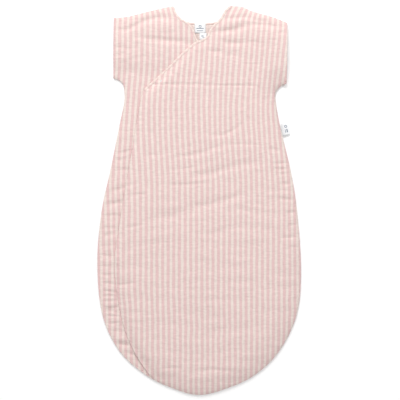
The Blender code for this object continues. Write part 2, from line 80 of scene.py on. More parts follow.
FOLD_TOP = (0.0385, 0.326)
WRAP_EDGE = [RIGHT_NECK, (0.0475, 0.3415), FOLD_TOP, (0.0265, 0.3145), (0.0185, 0.3035), (0.015, 0.2945),
             (0.006, 0.288), (-0.006, 0.2835), (-0.021, 0.272), (-0.042, 0.2522), (-0.058, 0.2362),
             (-0.099, 0.199)]
FLAP_CORNER = WRAP_EDGE[-1]
FLAP_BOW = [(-0.1060, 0.1726), (-0.1212, 0.086), (-0.1328, 0.021)]
FLAP_STRAIGHT_END = (-0.148, -0.074)
FLAP_CURVE = [FLAP_STRAIGHT_END, (-0.1515, -0.115), (-0.146, -0.175), (-0.132, -0.235), (-0.111, -0.281)]
FLAP_FOOT = (-0.0829, -0.3213)

# Sheets
FINE_CELL = 0.0026
COARSE_CELL = 0.005
EDGE_STEP = 0.0026
CLOTH_THICK = 0.0010
BACK_THICK = 0.0009
RIM_REACH = 0.045
SEAM_LEVEL = 0.0022
ROLL_HEIGHT = 0.0016
ROLL_REACH = 0.0016
STRIPE_REPEAT = 0.0098
STRIPE_START = 0.003

# Heights of the tops of the sheets, in the middle of each
BACK_LEVEL = 0.0012
UNDER_CROWN = 0.0058
UNDER_SHOULDER = 0.0092
WRAP_CROWN = 0.0138
# How far the wrap's free edge lies above the left front, and how far in from the edge it comes down
FLAP_EDGE_LIFT = 0.0021
FLAP_EDGE_REACH = 0.017
# How far the chest facing and the flap's zip tape lie below the top of the wrap, and how thick facings are
FACING_DROP = 0.0017
FACING_THICK = 0.0007
# The lowest that a piece reaches, and the gap between two plies
LOWEST = 0.0001
PLY_GAP = 0.0001
STITCH_WIDTH = 0.0005
STITCH_HEIGHT = 0.0004


# Paths

def smooth(points, step=EDGE_STEP):
    """Points along a smooth curve through the given ones, about a step apart."""
    knots = [Vector(p) for p in points]
    knots = [2 * knots[0] - knots[1], *knots, 2 * knots[-1] - knots[-2]]
    path = []
    for before, a, b, after in zip(knots, knots[1:], knots[2:], knots[3:]):
        count = max(1, round((b - a).length / step))
        path += interpolate_bezier(a, a + (b - before) / 6, b - (after - a) / 6, b, count + 1)[:-1]
    return np.array([tuple(p) for p in path] + [tuple(knots[-2])])


def straight(a, b, step=EDGE_STEP):
    """Points from a to b, about a step apart."""
    count = max(1, round(math.dist(a, b) / step))
    return np.linspace(a, b, count + 1)


def joined(*paths):
    """Paths end to end as a closed outline, without repeated corners."""
    return np.concatenate([p[:-1] for p in paths])


def parted(path, point):
    """The path up to its place nearest a point, and from there on."""
    i = int(np.argmin(np.linalg.norm(path - np.array(point), axis=1)))
    return path[: i + 1], path[i:]


def trimmed(path, start, end):
    """The path without a length at its start and one at its end."""
    s = along(path)
    inner = path[(s > start) & (s < s[-1] - end)]
    return np.vstack([at_length(path, start), inner, at_length(path, s[-1] - end)])


def along(path):
    """Length along a path at each of its points."""
    return np.concatenate([[0], np.cumsum(np.linalg.norm(np.diff(path, axis=0), axis=1))])


def at_length(path, length):
    """The place at a length along a path, or the places at several."""
    s = along(path)
    return np.stack([np.interp(length, s, path[:, k]) for k in range(2)], axis=-1)


def directions(path):
    """The way that a path runs at each of its points."""
    ways = np.gradient(path, axis=0)
    return ways / np.linalg.norm(ways, axis=1)[:, None]


def leftward(ways):
    """The directions to the left of others."""
    return np.column_stack([-ways[:, 1], ways[:, 0]])


def evenly(path, step):
    """The path's points, directions and lengths, a step apart."""
    length = along(path)[-1]
    marks = np.linspace(0, length, max(2, round(length / step) + 1))
    points = at_length(path, marks)
    return points, directions(points), marks


def beside(path, offset):
    """A path at an offset to the left of another."""
    return path + offset * leftward(directions(path))


def from_path(points, path):
    """For each point, its distance from a path and the length along it of the nearest place."""
    best = np.full(len(points), 1e9)
    place = np.zeros(len(points))
    s = along(path)
    for i, (a, b) in enumerate(zip(path, path[1:])):
        run = b - a
        share = np.clip((points - a) @ run / max(run @ run, 1e-12), 0, 1)
        gap = np.linalg.norm(points - a - share[:, None] * run, axis=1)
        closer = gap < best
        best[closer] = gap[closer]
        place[closer] = s[i] + share[closer] * (s[i + 1] - s[i])
    return best, place


def inside(points, outline):
    """Which of the points lie inside a closed outline."""
    x, y = points[:, 0], points[:, 1]
    found = np.zeros(len(points), bool)
    for (ax, ay), (bx, by) in zip(outline, np.roll(outline, -1, axis=0)):
        if ay == by:
            continue
        crosses = (ay > y) != (by > y)
        found ^= crosses & (x < (bx - ax) * (y - ay) / (by - ay) + ax)
    return found


def step_up(value, low, high):
    """0 below low, 1 above high, smooth between."""
    share = np.clip((value - low) / (high - low), 0, 1)
    return share * share * (3 - 2 * share)


LEFT_SHOULDER = smooth(LEFT_SHOULDER_LINE)
LEFT_ARMHOLE = straight(LEFT_SLEEVE_TOP, LEFT_SLEEVE_BOTTOM)
SIDES = smooth([LEFT_SLEEVE_BOTTOM, *LEFT_UNDERARM, *LEFT_BODY, BOTTOM, *RIGHT_BODY, *RIGHT_UNDERARM,
                RIGHT_SLEEVE_BOTTOM])
RIGHT_ARMHOLE = straight(RIGHT_SLEEVE_BOTTOM, RIGHT_SLEEVE_TOP)
RIGHT_SHOULDER = smooth(RIGHT_SHOULDER_LINE)
BACK_NECK = smooth(BACK_NECK_EDGE)
LEFT_NECKLINE = smooth(LEFT_NECK_EDGE)
WRAP_NECKLINE = smooth(WRAP_EDGE)
SEAM_PAST_FOOT = parted(SIDES, FLAP_FOOT)[1]
SEAM_TO_INNER = parted(SIDES, UNDER_INNER_EDGE[0])[0]
FLAP_LOWER = smooth([*FLAP_CURVE, tuple(SEAM_PAST_FOOT[0])])
UNBOWED_EDGE = np.concatenate([straight(FLAP_CORNER, FLAP_STRAIGHT_END)[:-1], FLAP_LOWER])
FLAP_EDGE = np.concatenate([smooth([FLAP_CORNER, *FLAP_BOW, FLAP_STRAIGHT_END])[:-1], FLAP_LOWER])
INNER_EDGE = smooth([tuple(SEAM_TO_INNER[-1]), *UNDER_INNER_EDGE[1:]])
SEWN = [LEFT_SHOULDER[::4], SIDES[::4], RIGHT_SHOULDER[::4]]

BACK_OUTLINE = joined(LEFT_SHOULDER, LEFT_ARMHOLE, SIDES, RIGHT_ARMHOLE, RIGHT_SHOULDER, BACK_NECK)
UNDER_OUTLINE = joined(LEFT_SHOULDER, LEFT_ARMHOLE, SEAM_TO_INNER, INNER_EDGE, LEFT_NECKLINE)
WRAP_OUTLINE = joined(WRAP_NECKLINE, FLAP_EDGE, SEAM_PAST_FOOT, RIGHT_ARMHOLE, RIGHT_SHOULDER)


# Heights

def ripple(points, across, up, seed):
    """Smooth noise of about one wave per 1 / across and 1 / up metres, from -1 to 1."""
    return np.array([noise.noise((x * across, y * up, seed)) for x, y in points])


def seam_distance(points):
    """Distance of each point from the nearest sewn edge."""
    return np.min([from_path(points, path)[0] for path in SEWN], axis=0)


def dome(distance):
    """How far a panel has risen at a distance from its seams, from 0 at the rim to 1."""
    share = np.clip(distance / RIM_REACH, 0, 1)
    return 1 - (1 - share) ** 2


def rolled(distance):
    """How far the cloth has risen over the soft turned edge of a seam, at a distance from it."""
    return ROLL_HEIGHT * (1 - np.exp(-distance / ROLL_REACH))


def fold(points, way, width, height):
    """A soft ridge, or a groove if height is below 0, along a way, fading to its ends."""
    path = smooth(way, 0.006)
    near = np.flatnonzero(bounds_near(points, path, width * 3))
    dz = np.zeros(len(points))
    gap, place = from_path(points[near], path)
    share = np.clip(place / along(path)[-1], 0, 1)
    dz[near] = height * np.exp(-((gap / width) ** 2)) * np.sin(math.pi * share) ** 0.8
    return dz


def puckers(points, path, width, height, wave, seed):
    """Small cross folds drawn up by a row of stitches, uneven along it."""
    near = np.flatnonzero(bounds_near(points, path, width * 3))
    dz = np.zeros(len(points))
    if len(near) == 0:
        return dz
    gap, place = from_path(points[near], path[::2])
    wander = np.array([noise.noise((s * 18, seed, 0.5)) for s in place])
    strength = 0.55 + 0.9 * np.array([noise.noise((s * 30, seed, 7.5)) for s in place])
    wavy = np.sin(2 * math.pi * place / wave + 5 * wander)
    dz[near] = height * np.clip(strength, 0, 1) * wavy * np.exp(-((gap / width) ** 2))
    return dz


def bounds_near(points, path, margin):
    """Which of the points lie within a margin of a path's bounds."""
    low, high = path.min(0) - margin, path.max(0) + margin
    return np.all((points > low) & (points < high), axis=1)


def crinkle(points, seed, amount):
    """The crêpe of double gauze: short dents, longer across the stripes than along them."""
    long = ripple(points, 15, 90, seed + 6) * (1.7 - step_up(points[:, 1], -0.200, 0.100))
    broad = ripple(points, 75, 150, seed)
    fine = ripple(points, 190, 330, seed + 3)
    return amount * (long * 1.3 + broad * 0.7 + fine * 0.4)


def in_metres(folds):
    """Folds given in millimetres, as lengths in metres."""
    return [([(x / 1000, y / 1000) for x, y in way], width / 1000, height / 1000)
            for way, width, height in folds]


# Folds, in millimetres: the way each runs, how wide it is and how high, below 0 for a crease
UNDER_FOLDS = in_metres([
    ([(-122, 293.5), (-80, 289.7), (-50, 286.5), (-30, 285), (2, 279.5)], 5, -2.4),
    ([(-152, 306.2), (-135, 306), (-120, 311), (-105, 319.5), (-90, 325)], 4, -2.3),
    ([(-108, 320), (-90, 325.5), (-70, 328.5), (-55, 327.5), (-42, 326)], 4.2, -2.4),
    ([(-90, 312), (-65, 316.5), (-40, 313)], 8, 1.2),
    ([(-74, 298), (-58, 299.2), (-42, 300)], 3, -0.7),
    ([(-154, 275.2), (-143, 274.8), (-130, 274.2)], 3.8, -1.3),
    ([(-134, 270.5), (-122, 272.2), (-108, 276)], 2.5, -0.7),
    ([(-154, 260.8), (-143, 262.2), (-132, 264)], 3.6, -1.2),
    ([(-122, 255), (-108, 256.5), (-92, 257.5)], 4, -0.8),
    ([(-142, 228), (-122, 232), (-100, 226)], 6, -0.8),
    ([(-133, 168), (-128, 120), (-137, 70)], 5, 0.8),
    ([(-152, 85.2), (-138, 85.6), (-120, 91)], 2.6, -1.5),
    ([(-156, 74.2), (-144, 73.5), (-128, 74)], 2.6, -1.1),
    ([(-158, 56), (-140, 54.5), (-118, 56)], 3.4, -1.3),
    ([(-170, 16.3), (-156, 17), (-143, 20), (-122, 29)], 3.8, -1.8),
    ([(-174, -5.5), (-159, -6.2), (-146, -3.8), (-128, -3)], 4.4, -2.6),
    ([(-178, -29), (-162, -27.2), (-146, -27), (-132, -28)], 2.4, -1.4),
    ([(-178, -50.5), (-162, -49), (-146, -50)], 2.2, -1.2),
    ([(-178, -66.5), (-162, -61.5), (-144, -56)], 3.4, -1.6),
    ([(-180, -83), (-166, -82), (-148, -80)], 2.6, -1.2),
    ([(-180, -100), (-166, -99), (-150, -101)], 2.4, -1.2),
    ([(-180, -117), (-166, -119), (-152, -116)], 2.2, -1.3),
    ([(-180, -131), (-166, -134), (-152, -131)], 2, -1.8),
    ([(-178, -150), (-162, -149), (-148, -152)], 1.8, -1.8),
    ([(-178, -164), (-162, -163), (-144, -166)], 1.7, -2.4),
    ([(-177, -172), (-162, -171), (-146, -173)], 1.6, -2.2),
    ([(-177, -180), (-162, -181), (-144, -179)], 1.6, -2.2),
    ([(-176, -192), (-160, -193.5), (-140, -190)], 1.8, -2.6),
    ([(-175, -200), (-160, -198.5), (-144, -201)], 1.6, -2.2),
    ([(-172, -208.5), (-158, -207.5), (-142, -209)], 1.6, -1.8),
    ([(-170, -220), (-156, -221), (-140, -219)], 2, -1.8),
    ([(-162, -237), (-148, -234.5), (-132, -236)], 2.2, -1.8),
    ([(-160, -248), (-146, -247), (-124, -248)], 3.6, 1.8),
    ([(-162, -258), (-147, -259), (-120, -260)], 4.2, -3.6),
    ([(-136, -274), (-122, -276), (-102, -279)], 3.8, -2.2),
    ([(-118, -286), (-104, -290), (-88, -294)], 3.4, -1.8),
])
WRAP_FOLDS = in_metres([
    ([(22, 301), (38, 303), (54, 304.5), (69, 307.5), (88, 314.5)], 4.8, -3.4),
    ([(82, 314.8), (104, 315.5), (124, 314.8), (140, 312.5), (157, 311.5)], 3.4, -2.7),
    ([(50, 316.5), (68, 320), (92, 323.5)], 4.8, 1.3),
    ([(38, 327.5), (52, 326.2), (66, 327.8), (82, 329), (100, 328.5)], 3.2, -2.4),
    ([(90, 328), (104, 323.2), (124, 322), (138, 319.5)], 2.6, -1.7),
    ([(40, 284), (60, 281.2), (82, 282.5)], 4.4, -2.6),
    ([(74, 283.5), (94, 283.2), (118, 281.2)], 3, -1.2),
    ([(86, 277), (100, 275.5), (116, 273.5)], 3, -1),
    ([(12, 268.5), (30, 266.5), (48, 265.5)], 4, -1.5),
    ([(42, 261.5), (60, 260), (80, 261)], 5, -1.2),
    ([(124, 287.5), (134, 287), (144, 287.5)], 2, -0.7),
    ([(138, 301.5), (149, 301.2), (160, 301.8)], 2, -1),
    ([(70, 244), (100, 244.2), (122, 243.8)], 1.6, -0.8),
    ([(14, 115.5), (34, 117.2), (52, 120.5), (64, 128), (82, 141)], 3.4, -1.7),
    ([(-20, 83), (4, 86.2), (14, 89.2), (28, 93.8), (50, 96.5)], 4.8, -1.4),
    ([(40, 99.5), (70, 100.8), (92, 100.8), (114, 99)], 2, -1.2),
    ([(-44, 78.5), (-15, 80.5), (12, 83.5)], 3.4, -1.1),
    ([(-108, 81.5), (-80, 81.2), (-52, 85.5)], 4, -0.9),
    ([(-22, 43), (8, 46), (28, 50.5), (46, 57.5), (64, 61), (90, 65), (124, 69)], 6.4, -1.8),
    ([(-64, 55), (-35, 56), (-15, 58.8), (10, 61.2)], 2.7, -1.2),
    ([(-62, 27.5), (-35, 28.8), (-15, 28.5), (2, 30.8), (26, 31.2)], 2.7, -1.3),
    ([(-44, -12), (-10, -10), (14, -7.8), (32, -3.8), (52, 1.5), (68, 7.5), (88, 24)], 6.6, -2),
    ([(-112, -45), (-76, -33), (-45, -27.2), (-20, -21.2), (12, -16.5)], 8.5, -1.7),
    ([(0, -65), (30, -57.8), (56, -50), (80, -47.5), (110, -48.2), (138, -54)], 7, -1.2),
    ([(46, -14.5), (76, -16.5), (104, -20.5), (144, -25.5)], 6.2, -1),
    ([(82, -4.5), (104, -6.5), (128, -11.5)], 3, -1),
    ([(-138, 23), (-122, 28.5), (-104, 31.5)], 2.8, -1.2),
    ([(-128, 6.5), (-112, 10.2), (-88, 11.5)], 2.2, -1.5),
    ([(-140, -50), (-122, -47), (-98, -44)], 2.8, -1.1),
    ([(-156, -151.5), (-138, -151), (-112, -147.5)], 2.8, -2),
    ([(134, 66.8), (150, 66.2), (163, 66.8)], 2, -1.7),
    ([(130, 57), (148, 55.8), (164, 57)], 2.2, -1.8),
    ([(138, 48.5), (152, 47.5), (166, 48)], 1.8, -1),
    ([(140, 29), (156, 30), (169, 30.5)], 2.6, -2),
    ([(118, 16), (142, 18), (168, 18.5)], 2.6, -1),
    ([(138, 5), (158, 2), (174, 1)], 2.8, -1.9),
    ([(156, -22.5), (167, -21.5), (177, -22)], 2.2, -1.9),
    ([(158, -45), (170, -44), (180, -45)], 2.4, -1.7),
    ([(144, -68), (162, -66.5), (181, -66)], 2.4, -1.6),
    ([(158, -84), (170, -83), (182, -83)], 2.2, -1.4),
    ([(118, 92.5), (136, 90.5), (154, 86.5)], 3.4, -1.5),
    ([(-70, -300.5), (-48, -299.5), (-26, -301)], 2.8, -1.5),
    ([(-10, -306), (16, -303.5), (36, -303), (66, -306)], 3.4, -1.3),
    ([(46, -328.5), (66, -327), (88, -324)], 2.8, -1.4),
])
# Small dents where the stitching draws the cloth in, beside the corner of the wrap
TACKS = [(-0.0470, 0.2290), (-0.0593, 0.2206), (-0.0691, 0.2144), (-0.0799, 0.2077), (-0.0900, 0.2012),
         (-0.0925, 0.1935)]
# The cloth stands a little higher over the zip's puller
PULLER_PLACE = (-0.0885, 0.1670)
CHEST_LINE = smooth([(-0.080, 0.2080), (0.000, 0.2072), (0.060, 0.2062), (0.096, 0.2060), (0.110, 0.2030)])
DIAGONAL_STITCHES = trimmed(beside(WRAP_NECKLINE, 0.0062), 0.012, 0.004)
FLAP_STITCHES = trimmed(beside(FLAP_EDGE, 0.0065), 0.004, 0.014)
LEFT_HEM_STITCHES = beside(LEFT_ARMHOLE, 0.012)
RIGHT_HEM_STITCHES = beside(RIGHT_ARMHOLE, 0.012)
SIDE_PUCKERS = beside(SIDES, 0.006)
RIGHT_SIDE_PUCKERS = beside(smooth([(0.1545, 0.055), (0.150, 0.110), (0.141, 0.160)]), 0.004)


def back_top(points):
    """Height of the top of the back's cloth."""
    edge = seam_distance(points)
    seam_side = np.exp(-edge / 0.003)
    soft = 0.0003 * (1 + ripple(points, 22, 30, 40.5)) * (1 - seam_side)
    return BACK_LEVEL + (SEAM_LEVEL - BACK_LEVEL) * seam_side + soft + crinkle(points, 11.5, 0.00008)


def under_rest(points, edge):
    """Smooth height of the left front, which rises to the shoulder, for what lies on it."""
    shoulder = step_up(points[:, 1], 0.222, 0.262)
    crown = UNDER_CROWN + (UNDER_SHOULDER - UNDER_CROWN) * shoulder
    return SEAM_LEVEL + rolled(edge) + (crown - SEAM_LEVEL - ROLL_HEIGHT) * dome(edge)


def under_top(points):
    """Height of the top of the left front's cloth."""
    edge = seam_distance(points)
    z = under_rest(points, edge)
    settle = step_up(edge, 0.0, 0.012)
    for way, width, height in UNDER_FOLDS:
        z += fold(points, way, width, height) * settle
    z += ripple(points, 14, 11, 4.5) * 0.0007 * settle
    z += puckers(points, LEFT_HEM_STITCHES, 0.0035, 0.00035, 0.0065, 3.5)
    z += puckers(points, SIDE_PUCKERS, 0.0035, 0.00030, 0.0070, 9.5)
    z += puckers(points, LEFT_SHOULDER, 0.0060, 0.00035, 0.0080, 5.5) * settle
    return z + crinkle(points, 21.5, 0.00042) * step_up(edge, 0, 0.006)


def wrap_top(points):
    """Height of the top of the wrap front's cloth, which comes down to the left front at its free edge."""
    edge = seam_distance(points)
    z = SEAM_LEVEL + CLOTH_THICK * 0.2 + rolled(edge) + (WRAP_CROWN - SEAM_LEVEL - ROLL_HEIGHT) * dome(edge)
    free = np.minimum(from_path(points, FLAP_EDGE[::3])[0], from_path(points, WRAP_NECKLINE[::3])[0])
    lying = under_rest(points, edge) + FLAP_EDGE_LIFT
    share = step_up(free, -0.002, FLAP_EDGE_REACH)
    z = np.minimum(z, lying + (z - lying) * share)
    settle = step_up(edge, 0.0, 0.012)
    for way, width, height in WRAP_FOLDS:
        z += fold(points, way, width, height) * settle
    z += ripple(points, 13, 10, 14.5) * 0.0009 * settle * step_up(free, 0.0, 0.02)
    z += puckers(points, DIAGONAL_STITCHES, 0.0030, 0.00055, 0.0085, 1.5)
    z += puckers(points, FLAP_STITCHES, 0.0032, 0.00050, 0.0090, 2.5)
    z += puckers(points, RIGHT_HEM_STITCHES, 0.0035, 0.00035, 0.0065, 6.5)
    z += puckers(points, SIDE_PUCKERS, 0.0035, 0.00030, 0.0070, 8.5)
    z += puckers(points, RIGHT_SIDE_PUCKERS, 0.0036, 0.00090, 0.0055, 12.5)
    z += puckers(points, beside(RIGHT_SHOULDER, 0.010), 0.0050, 0.00060, 0.0075, 7.5)
    z += dimple(points, PULLER_PLACE, 0.028, 0.0009)
    for place in TACKS:
        z += dimple(points, place, 0.0026, -0.0019)
    z += groove(points, CHEST_LINE, 0.0013, 0.00170) + puckers(points, CHEST_LINE, 0.0025, 0.0002, 0.006, 4.5)
    return z + crinkle(points, 31.5, 0.00042) * step_up(edge, 0, 0.006)


def dimple(points, place, width, height):
    """A round swelling at a place, or a dent if height is below 0."""
    return height * np.exp(-(np.linalg.norm(points - np.array(place), axis=1) / width) ** 2)


def groove(points, path, width, depth):
    """A crease of the same depth all along a path."""
    near = np.flatnonzero(bounds_near(points, path, width * 3))
    dz = np.zeros(len(points))
    gap, _ = from_path(points[near], path[::4])
    dz[near] = -depth * np.exp(-((gap / width) ** 2))
    return dz


# Cloth coordinates: metres across the stripes and along them

def leaning(value, low, high):
    """The length that a slope has climbed, which grows from 0 at low to 1 at high and stays there."""
    span = high - low
    share = np.clip((value - low) / span, 0, 1)
    return span * (share ** 3 - share ** 4 / 2) + np.clip(value - high, 0, None)


def plain_cloth(points):
    """Straight stripes."""
    return points - np.array([STRIPE_START, 0])


def wrap_cloth(points):
    """The wrap's stripes, which lean, bow out at the side and are drawn in at the waist and chest."""
    x, y = points[:, 0], points[:, 1]
    lean = 0.070 + 0.055 * (1 - step_up(x, -0.090, 0.020)) + 0.035 * step_up(x, 0.060, 0.160)
    shoulder = 0.30 * (1 - step_up(x, 0.070, 0.140)) + 0.08
    splay = 0.085 * step_up(x, 0.000, 0.165) * (leaning(y, 0.000, 0.060) - leaning(y, 0.150, 0.200))
    waist = 0.062 * (1 - step_up(x, 0.045, 0.095)) * (leaning(y, 0.020, 0.050) - leaning(y, 0.110, 0.140))
    chest = 0.038 * (1 - step_up(x, 0.010, 0.050)) * (leaning(y, 0.130, 0.150) - leaning(y, 0.195, 0.215))
    drawn = 0.0012 * (1 - step_up(x, -0.060, 0.010)) + 0.0018 * (1 - step_up(x, -0.140, -0.085))
    sway = 0.0012 * ripple(points, 5, 7, 51.5) + 0.0004 * ripple(points, 24, 40, 53.5)
    shift = lean * leaning(y, 0.130, 0.200) + shoulder * leaning(y, 0.318, 0.336) - splay - waist - chest
    shift -= drawn * step_up(y, -0.215, -0.150)
    return np.column_stack([x - STRIPE_START - shift + sway, y])


# What the left front's lean adds up to at Y 0.245, where its stripes are in step with the frame's
LEAN_AT_TOP = 0.035 * 0.345 + 0.050 * 0.150


def under_cloth(points):
    """The left front's stripes, which lean above the foot and run straight again in the sleeve."""
    x, y = points[:, 0], points[:, 1]
    lean = (0.035 * leaning(y, -0.150, -0.050) + 0.050 * leaning(y, 0.060, 0.130)
            - 0.085 * leaning(y, 0.225, 0.265))
    inner = 0.025 * step_up(x, -0.125, -0.060) * (leaning(y, 0.180, 0.200) - leaning(y, 0.255, 0.285))
    shoulder = 0.26 * step_up(x, -0.125, -0.060) * leaning(y, 0.322, 0.340)
    waist = 0.064 * (leaning(-y, -0.050, -0.010) - leaning(-y, 0.090, 0.130))
    waist += 0.0013 * (1 - step_up(y, 0.100, 0.180))
    sway = 0.0010 * ripple(points, 6, 8, 61.5) + 0.0004 * ripple(points, 24, 40, 63.5)
    return np.column_stack([x - STRIPE_START - lean + LEAN_AT_TOP - inner - waist + shoulder + sway, y])


# Meshes

def plain_uvs(verts):
    """Cloth coordinates straight from X and Y, counted in stripes."""
    return [(v[0] / STRIPE_REPEAT, v[1] / STRIPE_REPEAT) for v in verts]


def fill_uvs(mesh, uvs):
    """Gives every corner of a mesh the cloth coordinates of its point."""
    corner = np.zeros(len(mesh.loops), np.int32)
    mesh.loops.foreach_get("vertex_index", corner)
    mesh.uv_layers["cloth"].data.foreach_set("uv", np.asarray(uvs, np.float32)[corner].ravel())


def linked(name, data):
    """A new object in the scene."""
    made = bpy.data.objects.new(name, data)
    bpy.context.scene.collection.objects.link(made)
    return made


def mesh_object(name, verts, faces, uvs=None):
    """A smooth-shaded object, with a point's cloth coordinates at each of its corners."""
    mesh = bpy.data.meshes.new(name)
    mesh.from_pydata([tuple(v) for v in verts], [], [tuple(f) for f in faces])
    if uvs is not None:
        mesh.uv_layers.new(name="cloth")
        fill_uvs(mesh, uvs)
    mesh.shade_smooth()
    return linked(name, mesh)


def sheet_points(outline, spacing):
    """Triangles that fill an outline: its own points, and a staggered grid inside."""
    low, high = outline.min(0), outline.max(0)
    rows = np.arange(low[1], high[1], spacing * 0.866)
    grid = [(x + (spacing / 2 if k % 2 else 0), y) for k, y in enumerate(rows)
            for x in np.arange(low[0], high[0], spacing)]
    grid = np.array(grid)
    grid = grid[inside(grid, outline)]
    closed = np.vstack([outline, outline[:1]])
    grid = grid[from_path(grid, closed)[0] > spacing * 0.55]
    points = [Vector(p) for p in np.vstack([outline, grid])]
    edges = [(i, (i + 1) % len(outline)) for i in range(len(outline))]
    found = delaunay_2d_cdt(points, edges, [], 1, 1e-7)
    return np.array([tuple(v) for v in found[0]]), np.array(found[2])


def up_normals(verts, triangles):
    """The direction of the surface at each point, pointing up."""
    a, b, c = (verts[triangles[:, k]] for k in range(3))
    face = np.cross(b - a, c - a)
    total = np.zeros_like(verts)
    for k in range(3):
        np.add.at(total, triangles[:, k], face)
    total[total[:, 2] < 0] *= -1
    return total / np.linalg.norm(total, axis=1)[:, None]


def rim_edges(triangles):
    """The edges that only one triangle has."""
    edges = np.vstack([triangles[:, [0, 1]], triangles[:, [1, 2]], triangles[:, [2, 0]]])
    key = {}
    for a, b in edges:
        key[(a, b)] = key.get((a, b), 0) + 1
    return [(a, b) for (a, b) in key if (b, a) not in key]


def cloth_sheet(name, outline, top, cloth, thickness=CLOTH_THICK, spacing=FINE_CELL):
    """A cloth piece: outline filled, raised to its height field and given its thickness downwards."""
    flat, triangles = sheet_points(outline, spacing)
    upper = np.column_stack([flat, top(flat)])
    normals = up_normals(upper, triangles)
    if np.cross(*(upper[triangles[0]][1:] - upper[triangles[0]][0]))[2] < 0:
        triangles = triangles[:, ::-1]
    lower = upper - normals * thickness
    lower[:, 2] = np.maximum(lower[:, 2], LOWEST)
    count = len(flat)
    walls = [(a, a + count, b + count, b) for a, b in rim_edges(triangles)]
    faces = [*triangles.tolist(), *(triangles[:, ::-1] + count).tolist(), *walls]
    uv = cloth(flat) / STRIPE_REPEAT
    return mesh_object(name, np.vstack([upper, lower]), faces, np.vstack([uv, uv]))


def sweep(name, path, section, top, step, wobble, seed=0.5):
    """A strip with a closed section of (across, up) points, laid along a path over a height field."""
    points, ways, marks = evenly(path, step)
    level = top(points)
    verts, uvs = [], []
    for p, side, mark, base in zip(points, leftward(ways), marks, level):
        swell = 1 + wobble * noise.noise((mark * 160, seed, 0.5))
        for j, (across, up) in enumerate(section):
            verts.append((*(p + side * across), max(base + up * swell, LOWEST)))
            uvs.append((mark / STRIPE_REPEAT, j / len(section) * 1.2))
    return closed_piece(name, verts, tube_faces(len(points), len(section)), uvs)


def tube_faces(rings, count):
    """Faces of a tube: rings of count points each, joined, and a face over each end."""
    faces = []
    for k in range(rings - 1):
        for j in range(count):
            a, b = k * count + j, k * count + (j + 1) % count
            faces.append((a, a + count, b + count, b))
    return [*faces, tuple(range(count)), tuple(range((rings - 1) * count, rings * count))]


def closed_piece(name, verts, faces, uvs=None):
    """An object with every face turned outwards. Its cloth runs straight unless it has coordinates."""
    made = mesh_object(name, verts, faces, plain_uvs(verts) if uvs is None else uvs)
    bm = bmesh.new()
    bm.from_mesh(made.data)
    bmesh.ops.recalc_face_normals(bm, faces=bm.faces[:])
    bm.to_mesh(made.data)
    bm.free()
    return made


def oval(width, height, count=12, power=0.7):
    """Closed oval section from 0 to width across, standing from 0 to height."""
    turns = np.linspace(0, 2 * math.pi, count, endpoint=False)
    curve = lambda v: math.copysign(abs(v) ** power, v)
    return [(width / 2 * (1 - curve(math.cos(t))), height / 2 * (1 + curve(math.sin(t)))) for t in turns]


def beads(name, path, top, pitch, length):
    """A row of stitches along a path, each a small rounded bead of this length."""
    rings, sides = 4, 6
    points, ways, _ = evenly(path, pitch)
    level = top(points)
    ball = []
    for r in range(1, rings):
        for s in range(sides):
            polar, turn = math.pi * r / rings, 2 * math.pi * s / sides
            ball.append((math.cos(polar), math.sin(polar) * math.cos(turn), math.sin(polar) * math.sin(turn)))
    ball = np.array([(1, 0, 0), *ball, (-1, 0, 0)]) * np.array((length, STITCH_WIDTH, STITCH_HEIGHT)) / 2
    faces = [(0, 1 + s, 1 + (s + 1) % sides) for s in range(sides)]
    for r in range(rings - 2):
        for s in range(sides):
            a, b = 1 + r * sides + s, 1 + r * sides + (s + 1) % sides
            faces.append((a, a + sides, b + sides, b))
    last = len(ball) - 1
    faces += [(last, last - 1 - s, last - 1 - (s + 1) % sides) for s in range(sides)]
    all_verts, all_faces = [], []
    for k, (p, way) in enumerate(zip(points, ways)):
        angle = math.atan2(way[1], way[0])
        c, s = math.cos(angle), math.sin(angle)
        spots = np.column_stack([ball[:, 0] * c - ball[:, 1] * s + p[0],
                                 ball[:, 0] * s + ball[:, 1] * c + p[1],
                                 ball[:, 2] + level[k]])
        base = len(all_verts)
        all_verts += spots.tolist()
        all_faces += [tuple(base + i for i in f) for f in faces]
    return closed_piece(name, all_verts, all_faces)


# Materials

def new_material(name):
    """A new material, its node tree and its shader."""
    made = bpy.data.materials.new(name)
    made.use_nodes = True
    return made, made.node_tree, made.node_tree.nodes["Principled BSDF"]


def set_inputs(node, values):
    """Sets a node's inputs by their names."""
    for key, value in values.items():
        node.inputs[key].default_value = value


def add(tree, kind, **values):
    """A new node, with values for its settings or its inputs."""
    node = tree.nodes.new(kind)
    for key, value in values.items():
        if hasattr(node, key):
            setattr(node, key, value)
        else:
            node.inputs[key].default_value = value
    return node


def feed(tree, socket, value):
    """Sets an input to a constant, or links another node's output to it."""
    if isinstance(value, (int, float, tuple)):
        socket.default_value = value
    else:
        tree.links.new(value, socket)


def maths(tree, operation, *values):
    """The result of a maths node."""
    node = tree.nodes.new("ShaderNodeMath")
    node.operation = operation
    for socket, value in zip(node.inputs, values):
        feed(tree, socket, value)
    return node.outputs[0]


def stretched(tree, value, factor, shift):
    """A value times a factor, moved by a shift."""
    return maths(tree, "ADD", maths(tree, "MULTIPLY", value, factor), shift)


def mixed(tree, share, a, b):
    """Colour a, and more of colour b as the share rises to 1."""
    node = tree.nodes.new("ShaderNodeMix")
    node.data_type = "RGBA"
    for place, value in ((0, share), (6, a), (7, b)):
        feed(tree, node.inputs[place], value)
    return node.outputs[2]


def scaled(tree, color, tone):
    """A colour made darker or lighter by a tone."""
    node = tree.nodes.new("ShaderNodeVectorMath")
    node.operation = "SCALE"
    feed(tree, node.inputs[0], color)
    feed(tree, node.inputs["Scale"], tone)
    return node.outputs[0]


